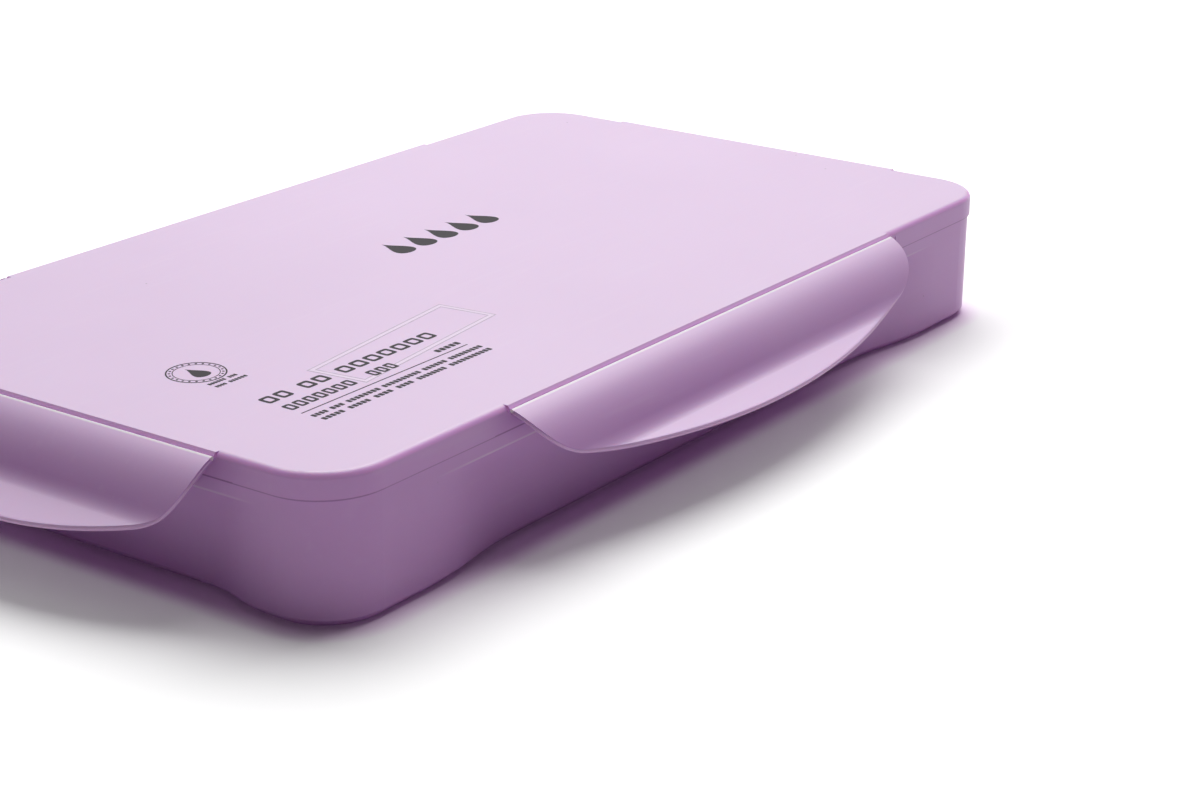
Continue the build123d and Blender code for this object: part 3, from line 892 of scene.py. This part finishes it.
# %% Paste group
STREAK_START, STREAK_GAIN = 0.55, 1.6
gouache_paste, given, result = new_group(
    "gouache paste",
    {
        "Vector": ("Vector", (0, 0, 0)),
        "First": ("Color", (1, 1, 1, 1)),
        "Second": ("Color", (1, 1, 1, 1)),
        "Third": ("Color", (1, 1, 1, 1)),
        "Fourth": ("Color", (1, 1, 1, 1)),
        "Front Edge": ("Float", 0.0),
        "Pitch": ("Float", 0.028),
    },
    {"Colour": "Color", "Roughness": "Float", "Normal": "Vector"},
)
tree = gouache_paste
own_y = add_node(tree, "SeparateXYZ", {"Vector": given["Vector"]}).outputs["Y"]
row = math(tree, "DIVIDE", math(tree, "SUBTRACT", own_y, given["Front Edge"]), given["Pitch"])
shade = given["First"]
for number, socket in ((1, "Second"), (2, "Third"), (3, "Fourth")):
    past = math(tree, "GREATER_THAN", row, float(number))
    shade = mix_colour(tree, past, shade, given[socket])
unstirred = noise(tree, given["Vector"], 240.0, 3.0, 1.2)
lighter = mix_colour(tree, 0.35, shade, (1, 1, 1, 1))
above = math(tree, "SUBTRACT", unstirred, STREAK_START, clamp=True)
streak = math(tree, "MULTIPLY", above, STREAK_GAIN, clamp=True)
tree.links.new(mix_colour(tree, streak, shade, lighter), result["Colour"])
sheen = math(tree, "ADD", math(tree, "MULTIPLY", unstirred, 0.3), 0.18)
tree.links.new(sheen, result["Roughness"])
drag = add_node(tree, "Bump", {"Height": unstirred, "Strength": 0.4, "Distance": 0.0003})
tree.links.new(drag.outputs[0], result["Normal"])

# %% Paste materials
SHADES = {
    "whites": ((248, 248, 244), (246, 240, 222), (238, 226, 196), (224, 206, 166)),
    "yellows": ((252, 240, 120), (250, 214, 40), (244, 186, 24), (222, 156, 36)),
    "oranges": ((252, 190, 110), (246, 150, 50), (238, 116, 34), (214, 86, 30)),
    "reds": ((244, 150, 160), (228, 60, 70), (198, 28, 40), (140, 22, 40)),
    "violets": ((222, 186, 228), (168, 110, 190), (112, 60, 142), (70, 36, 96)),
    "blues": ((166, 210, 238), (70, 140, 206), (30, 84, 166), (24, 44, 110)),
    "greens": ((178, 220, 130), (92, 172, 90), (36, 124, 78), (22, 78, 62)),
    "browns": ((222, 178, 130), (176, 116, 66), (126, 74, 44), (82, 50, 36)),
    "greys": ((196, 198, 200), (140, 144, 148), (84, 88, 92), (34, 36, 40)),
}
ROW_MARGIN = 0.3 * MM
front_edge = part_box("cups_whites")[0][1] - ROW_MARGIN
for family, shades in SHADES.items():
    made, tree, shader = new_material(f"gouache_{family}")
    wanted = {"Vector": object_coordinates(tree), "Front Edge": front_edge}
    wanted |= {name: rgb(*s) for name, s in zip(("First", "Second", "Third", "Fourth"), shades)}
    paste = place_group(tree, gouache_paste, wanted)
    wire_skin(tree, paste, shader)
    clothe(pastes[family], made, "tray")
print(len(pastes), "columns of paste, front edge at", round(front_edge / MM, 2), "mm")

# %% [markdown]
# ## Cups and peel-off films
# The cups are thin milky plastic and the films are clear, sealed round the rim of each cup. A clear
# film could be glass with refraction, but it is so thin that light goes straight through, so a
# steady alpha with low roughness does it at less cost, and faint ripples in the bump catch light.

# %% Cup and film materials


def white_moulding(name, colours, clouds, specks, scuffs, roughness, **constants):
    """White plastic with the moulded skin; colours are its own and that of its clouds."""
    made, tree, shader = new_material(name, **constants)
    wanted = {
        "Vector": object_coordinates(tree),
        "Colour": rgb(*colours[0]),
        "Cloud Colour": rgb(*colours[1]),
        "Clouds": clouds,
        "Specks": specks,
        "Scuffs": scuffs,
        "Roughness": roughness,
    }
    wire_skin(tree, place_group(tree, moulded_skin, wanted), shader)
    return made


milky_colours = ((232, 232, 236), (244, 244, 246))
soft = {"Subsurface_Weight": 0.25, "Subsurface_Scale": 0.002}
milky = white_moulding("milky_cup", milky_colours, 0.5, 0.0, 0.05, 0.25, **soft)
finish_nodes([f"cups_{family}" for family in FAMILIES], milky)

film, tree, shader = new_material(
    "clear_film", Roughness=0.12, Alpha=0.14, Base_Color=rgb(244, 245, 248)
)
ripple = noise(tree, object_coordinates(tree), 120.0, 2.0, 0.8)
waves = add_node(tree, "Bump", {"Height": ripple, "Strength": 0.5, "Distance": 0.0006})
tree.links.new(waves.outputs[0], shader.inputs["Normal"])
finish_nodes([f"films_{family}" for family in FAMILIES], film)

# %% [markdown]
# ## The palette
# The mixing palette is the same kind of moulding in glossy white. It shares the moulded skin, with
# a lower roughness and hardly any scuffs.

# %% Palette material
white_colours = ((236, 235, 236), (246, 246, 247))
glossy = {"Coat_Weight": 0.3, "Coat_Roughness": 0.1}
white_plastic = white_moulding("white_palette", white_colours, 0.5, 0.2, 0.04, 0.22, **glossy)
finish_nodes(["mixing_palette"], white_plastic)

# %% [markdown]
# ## Brush hairs
# A brush head is a bundle of a few hundred filaments that leave the ferrule as a round bunch, swell
# a little and close to a point. A particle system could grow them, but each filament here is a thin
# three-sided spike on a path worked out directly: its place in the ferrule comes from a sunflower
# spiral, and its distance from the axis is that place times an envelope that swells and then shuts.

# %% Hair bundle
HAIRS = 420
GOLDEN_ANGLE = np.pi * (3 - np.sqrt(5))
HAIR_STATIONS = np.linspace(0, 1, 9)
HAIR_THICKNESS = 0.17
HAIR_SIDES = 3
GRIPPED = 1.0


def head_envelope(t):
    """Radius of the bunch along its length: a slight swell, then a long close to the point."""
    return (1 + 0.28 * np.sin(np.pi * np.minimum(t * 1.25, 1))) * (1 - t**2.6) ** 0.85


def hair_bundle(name, mouth, length, axis_y, axis_z, radius, seed):
    """Spikes[hair, station, side]: sunflower place x envelope, run from the mouth towards -X."""
    chance = np.random.default_rng(seed)
    number = np.arange(HAIRS)
    inward = np.sqrt((number + 0.5) / HAIRS)
    turn = number * GOLDEN_ANGLE
    reach = length * (1 - 0.05 * chance.random(HAIRS) - 0.10 * inward**3)
    t = HAIR_STATIONS[None, :] * np.ones((HAIRS, 1))
    out = (radius - HAIR_THICKNESS) * inward[:, None] * head_envelope(t * reach[:, None] / length)
    wander = 0.06 * chance.standard_normal((HAIRS, 2, 1)) * t[:, None, :] * (1 - t[:, None, :])
    x = mouth + GRIPPED - t * (reach[:, None] + GRIPPED)
    y = axis_y + out * np.cos(turn)[:, None] + wander[:, 0]
    z = axis_z + out * np.sin(turn)[:, None] + wander[:, 1]
    thick = HAIR_THICKNESS * (1 - 0.85 * t**3)
    side = np.arange(HAIR_SIDES) * 2 * np.pi / HAIR_SIDES + turn[:, None]
    ring_y = y[..., None] + thick[..., None] * np.cos(side)[:, None, :]
    ring_z = z[..., None] + thick[..., None] * np.sin(side)[:, None, :]
    forms = np.stack([np.broadcast_to(x[..., None], ring_y.shape), ring_y, ring_z], axis=-1)
    return skin_mesh(name, forms * MM)


def hair_core(name, mouth, length, axis_y, axis_z, radius, stations=24, spokes=32):
    """Nine tenths of the bunch's envelope, turned round the axis: shuts out light between hairs."""
    t = np.linspace(0, 0.93, stations)[:, None]
    angle = np.linspace(0, 2 * np.pi, spokes, endpoint=False)
    r = 0.9 * radius * head_envelope(t)
    x = np.broadcast_to(mouth + GRIPPED - t * length * 0.9, (stations, spokes))
    form = np.stack([x, axis_y + r * np.cos(angle), axis_z + r * np.sin(angle)], axis=-1)
    return skin_mesh(name, form[None] * MM)


# %% Brush heads
BRUSHES = ("large", "medium", "small")
FERRULE_WALL = 0.4
heads = {}
for number, size in enumerate(BRUSHES):
    hair_low = box_in_mm(f"brush_{size}_hair")[0]
    metal_low, metal_high = box_in_mm(f"brush_{size}_ferrule")
    axis_y, axis_z = (metal_low[1:] + metal_high[1:]) / 2
    radius = (metal_high[1] - metal_low[1]) / 2 - FERRULE_WALL
    length = metal_low[0] - hair_low[0]
    bundle = hair_bundle("hairs", metal_low[0], length, axis_y, axis_z, radius, seed=number)
    core = hair_core("core", metal_low[0], length, axis_y, axis_z, radius)
    heads[size] = joined(f"bristles_{size}", [bundle, core])
    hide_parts(f"brush_{size}_hair")
    print(size, "head:", round(length, 1), "mm long,", round(2 * radius, 1), "mm at the ferrule")

# %% [markdown]
# ## Brush finishes
# The hair is brown nylon, darker at the root and pale at the tip, with a strand-fine streak along
# its length. The ferrule is drawn aluminium, with fine rings round it from the drawing. The handle
# is turned wood under lilac lacquer, through which the grain just shows.
# All three are streaks drawn out one way, so one group makes them from a noise stretched by its own
# amount along each axis.

# %% Drawn streaks group
drawn_streaks, given, result = new_group(
    "drawn streaks",
    {
        "Vector": ("Vector", (0, 0, 0)),
        "Stretch": ("Vector", (20, 500, 500)),
        "Detail": ("Float", 2.0),
        "Distortion": ("Float", 0.0),
        "Dark": ("Color", (0.2, 0.2, 0.2, 1)),
        "Light": ("Color", (0.8, 0.8, 0.8, 1)),
        "Roughness": ("Float", 0.2),
        "Roughness Span": ("Float", 0.2),
    },
    {"Streaks": "Float", "Colour": "Color", "Roughness": "Float"},
)
tree = drawn_streaks
stretched = add_node(tree, "Mapping", {"Vector": given["Vector"], "Scale": given["Stretch"]})
streaks = noise(tree, stretched.outputs[0], 1.0, given["Detail"], given["Distortion"])
rougher = math(tree, "MULTIPLY", streaks, given["Roughness Span"])
tree.links.new(streaks, result["Streaks"])
tree.links.new(mix_colour(tree, streaks, given["Dark"], given["Light"]), result["Colour"])
tree.links.new(math(tree, "ADD", rougher, given["Roughness"]), result["Roughness"])
print("drawn streaks group:", len(tree.nodes), "nodes")

# %% Brush hair
TIP_END, TIP_START = -101 * MM, -80 * MM
nylon, tree, shader = new_material("brown_nylon", Sheen_Weight=0.2)
own = object_coordinates(tree)
along = add_node(tree, "SeparateXYZ", {"Vector": own}).outputs["X"]
paling = {"Value": along, "From Min": TIP_END, "From Max": TIP_START, "To Min": 1.0, "To Max": 0.0}
tip_mask = add_node(tree, "MapRange", paling).outputs[0]
wanted = {"Vector": own, "Stretch": (60.0, 3000.0, 3000.0), "Roughness": 0.3}
wanted |= {"Dark": rgb(92, 58, 38), "Light": rgb(132, 88, 58)}
strands = place_group(tree, drawn_streaks, wanted)
tip_colour = mix_colour(tree, strands["Streaks"], rgb(176, 128, 88), rgb(214, 176, 134))
hair_colour = mix_colour(tree, tip_mask, strands["Colour"], tip_colour)
tree.links.new(hair_colour, shader.inputs["Base Color"])
tree.links.new(strands["Roughness"], shader.inputs["Roughness"])
for size in BRUSHES:
    clothe(heads[size], nylon, f"brush_{size}")
print("the hair pales from", round(TIP_START / MM), "to", round(TIP_END / MM), "mm along X")


# %% Ferrules and handles
def streaked_material(name, streak_inputs, strength, distance, **constants):
    """Streaks in the colour, the roughness and a bump of a strength and a depth in metres."""
    made, tree, shader = new_material(name, **constants)
    drawn = place_group(tree, drawn_streaks, {"Vector": object_coordinates(tree)} | streak_inputs)
    tree.links.new(drawn["Colour"], shader.inputs["Base Color"])
    tree.links.new(drawn["Roughness"], shader.inputs["Roughness"])
    relief = {"Height": drawn["Streaks"], "Strength": strength, "Distance": distance}
    tree.links.new(add_node(tree, "Bump", relief).outputs[0], shader.inputs["Normal"])
    return made


drawing = {"Stretch": (4000.0, 120.0, 120.0), "Roughness": 0.18}
drawing |= {"Dark": rgb(196, 196, 198), "Light": rgb(232, 232, 232)}
drawn_metal = streaked_material("drawn_aluminium", drawing, 0.2, 0.00004, Metallic=1.0)
finish_nodes([f"brush_{size}_ferrule" for size in BRUSHES], drawn_metal)

fibres = {"Stretch": (18.0, 700.0, 700.0), "Detail": 4.0, "Distortion": 0.4}
fibres |= {"Dark": rgb(214, 186, 222), "Light": rgb(238, 222, 240)}
fibres |= {"Roughness": 0.25, "Roughness Span": 0.15}
lacquer_coat = {"Coat_Weight": 0.6, "Coat_Roughness": 0.08}
lacquer = streaked_material("lacquered_wood", fibres, 0.1, 0.0001, **lacquer_coat)
finish_nodes([f"brush_{size}_handle" for size in BRUSHES], lacquer)
print(len(BRUSHES), "ferrules and handles finished")

# %% [markdown]
# ## The table, the lamps and the surroundings
# The box lies on a white table under one large soft lamp, above it and off its far right corner, so
# that its top is bright, its near sides are in shade and its shadow falls softly to the left. The
# table and the surroundings look white to the camera and in reflections through Light Path, which
# adds no light to the box itself. That whiteness is faded on the table close to the box, a painted
# shade for the box hiding the table from the bright room, and within a few millimetres of the foot
# of the walls it is gone, a painted contact shadow. There the table's colour takes a painted lilac
# tint, for the light that the lilac plastic throws on it.

# %% Table
TABLE_HALF = 4.0
# The near value of the glow is painted shade close to the box.
TABLE_GLOW = (0.14, 0.40)
GLOW_REACH = 55 * MM
# Where the painted contact shadow lies, at the foot of the walls.
CONTACT_CENTRE = (-1.5 * MM, -1.5 * MM)
CONTACT_REACH = (-1 * MM, 7 * MM)
# TABLE_TINT is the painted lilac light thrown on the table by the box.
TABLE_TINT = (0.90, 0.73, 0.91, 1)
TABLE_WHITE = (0.88, 0.88, 0.88, 1)
BOX_HALF, BOX_CORNER = (132 * MM, 74 * MM), 14 * MM
table_mesh = bpy.data.meshes.new("table")
corners = np.array([[-1, -1, 0], [1, -1, 0], [1, 1, 0], [-1, 1, 0]]) * TABLE_HALF
table_mesh.from_pydata(corners.tolist(), [], [(0, 1, 2, 3)])
table = bpy.data.objects.new("table", table_mesh)
bpy.context.scene.collection.objects.link(table)


def shown_rays(tree):
    """1 for rays from the camera, from gloss and through clear things, and 0 for the rest."""
    path = add_node(tree, "LightPath").outputs
    either = math(tree, "MAXIMUM", path["Is Camera Ray"], path["Is Glossy Ray"])
    return math(tree, "MAXIMUM", either, path["Is Transmission Ray"])


def distance_from_box(tree, centre=(0.0, 0.0)):
    """Metres from the box's rounded plan moved to a centre.

    With q = max(|p - centre| - (half - r), 0) on each axis, the distance is |q| - r.
    """
    own = add_node(tree, "SeparateXYZ", {"Vector": object_coordinates(tree)}).outputs
    square = 0.0
    for axis, half, middle in zip("XY", BOX_HALF, centre):
        offset = math(tree, "ABSOLUTE", math(tree, "SUBTRACT", own[axis], middle))
        outside = math(tree, "MAXIMUM", math(tree, "SUBTRACT", offset, half - BOX_CORNER), 0.0)
        square = math(tree, "ADD", math(tree, "POWER", outside, 2.0), square)
    return math(tree, "SUBTRACT", math(tree, "SQRT", square), BOX_CORNER)


white_table, tree, shader = new_material("white_table", Roughness=0.7, Specular_IOR_Level=0.1)
away = distance_from_box(tree)
near_glow, far_glow = TABLE_GLOW
reach = {"Value": away, "From Max": GLOW_REACH, "To Min": near_glow, "To Max": far_glow}
glow = add_node(tree, "MapRange", reach, interpolation_type="SMOOTHSTEP").outputs[0]
# Painted contact shadow: the glow and the white are gone at the foot of the walls.
touching = distance_from_box(tree, CONTACT_CENTRE)
touch = {"Value": touching, "From Min": CONTACT_REACH[0], "From Max": CONTACT_REACH[1]}
open_share = add_node(tree, "MapRange", touch, interpolation_type="SMOOTHSTEP").outputs[0]
shown_glow = math(tree, "MULTIPLY", shown_rays(tree), math(tree, "MULTIPLY", glow, open_share))
tree.links.new(shown_glow, shader.inputs["Emission Strength"])
# Painted lilac tint near the box, in the colour and in the glow.
tinted = mix_colour(tree, open_share, TABLE_TINT, TABLE_WHITE)
tree.links.new(tinted, shader.inputs["Base Color"])
tree.links.new(tinted, shader.inputs["Emission Color"])
table_mesh.materials.append(white_table)

# %% Lamps and surroundings
AMBIENT = 0.07
LAMP_DIRECTION = (np.radians(28), np.radians(59))
LAMP_DISTANCE, LAMP_SIZE, LAMP_WATTS = 2.6, 2.4, 86.0
world = bpy.data.worlds.new("studio")
bpy.context.scene.world = world
world.use_nodes = True
sky = world.node_tree.nodes["Background"]
sky.inputs["Color"].default_value = (1, 1, 1, 1)
level = math(world.node_tree, "MAXIMUM", shown_rays(world.node_tree), AMBIENT)
world.node_tree.links.new(level, sky.inputs["Strength"])


def soft_lamp(name, place, aim, size, watts):
    """A square area lamp at a place, turned so that it faces a point."""
    data = bpy.data.lights.new(name, "AREA")
    data.shape, data.size, data.energy = "SQUARE", size, watts
    lamp = bpy.data.objects.new(name, data)
    back = np.array(place, float) - aim
    back /= np.linalg.norm(back)
    side = np.cross((0, 1, 0), back)
    side /= np.linalg.norm(side)
    pose = np.eye(4)
    pose[:3, :3] = np.column_stack([side, np.cross(back, side), back])
    pose[:3, 3] = place
    lamp.matrix_world = Matrix(pose.tolist())
    bpy.context.scene.collection.objects.link(lamp)
    print(name, "at", place, "gives", watts, "watts")
    return lamp


azimuth, height = LAMP_DIRECTION
lamp_place = LAMP_DISTANCE * np.array(
    [np.cos(height) * np.cos(azimuth), np.cos(height) * np.sin(azimuth), np.sin(height)]
)
soft_lamp("overhead", lamp_place.round(3).tolist(), (0, 0, 0), LAMP_SIZE, LAMP_WATTS)
